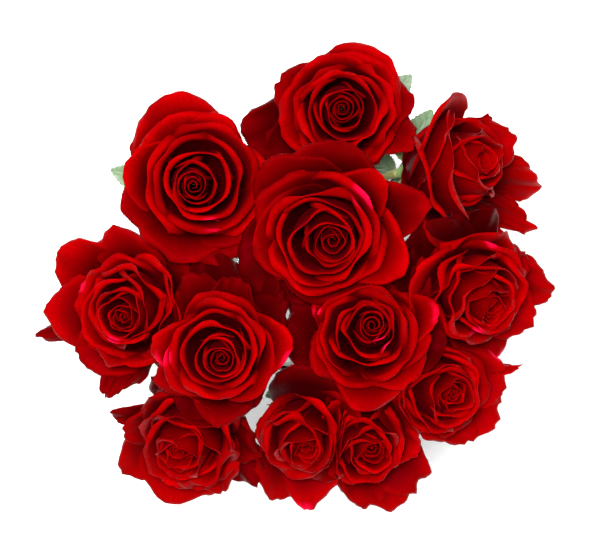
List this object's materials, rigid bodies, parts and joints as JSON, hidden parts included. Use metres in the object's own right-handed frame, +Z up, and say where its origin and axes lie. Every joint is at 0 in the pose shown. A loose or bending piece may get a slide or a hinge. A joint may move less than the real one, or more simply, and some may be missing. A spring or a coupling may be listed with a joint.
{
  "type": "roses in a vase",
  "caption": "Domed bunch of red roses with green leaves, standing in water in a plain flared clear glass vase.",
  "frame": {"origin": "centre of the vase's flat underside, on the surface that the vase stands on", "axes": "+Z up along the vase's axis; +Y towards the top of the bunch as seen from straight above, +X to its right"},
  "size_m": [0.2799, 0.2588, 0.3893],
  "materials": {
    "glass": "gloss",
    "water": "gloss",
    "petal": "satin",
    "stem": "satin",
    "calyx": "satin",
    "leaf": "satin"
  },
  "bodies": {
    "root": {"vase": "glass", "water": "water", "rose_01_stem": "stem", "rose_01_calyx": "calyx", "rose_01_bloom": "petal", "rose_02_stem": "stem", "rose_02_calyx": "calyx", "rose_02_bloom": "petal", "rose_03_stem": "stem", "rose_03_calyx": "calyx", "rose_03_bloom": "petal", "rose_04_stem": "stem", "rose_04_calyx": "calyx", "rose_04_bloom": "petal", "rose_05_stem": "stem", "rose_05_calyx": "calyx", "rose_05_bloom": "petal", "rose_06_stem": "stem", "rose_06_calyx": "calyx", "rose_06_bloom": "petal", "rose_07_stem": "stem", "rose_07_calyx": "calyx", "rose_07_bloom": "petal", "rose_08_stem": "stem", "rose_08_calyx": "calyx", "rose_08_bloom": "petal", "rose_09_stem": "stem", "rose_09_calyx": "calyx", "rose_09_bloom": "petal", "rose_10_stem": "stem", "rose_10_calyx": "calyx", "rose_10_bloom": "petal", "rose_11_stem": "stem", "rose_11_calyx": "calyx", "rose_11_bloom": "petal", "rose_12_stem": "stem", "rose_12_calyx": "calyx", "rose_12_bloom": "petal", "leaf_01": "leaf", "leaf_02": "leaf", "leaf_03": "leaf", "leaf_04": "leaf", "leaf_05": "leaf", "leaf_06": "leaf", "leaf_07": "leaf", "leaf_08": "leaf", "leaf_09": "leaf", "leaf_10": "leaf", "leaf_11": "leaf", "leaf_12": "leaf", "leaf_13": "leaf", "leaf_14": "leaf", "leaf_15": "leaf", "leaf_16": "leaf", "leaf_17": "leaf", "leaf_18": "leaf", "leaf_19": "leaf", "leaf_20": "leaf", "leaf_21": "leaf"}
  },
  "joints": []
}
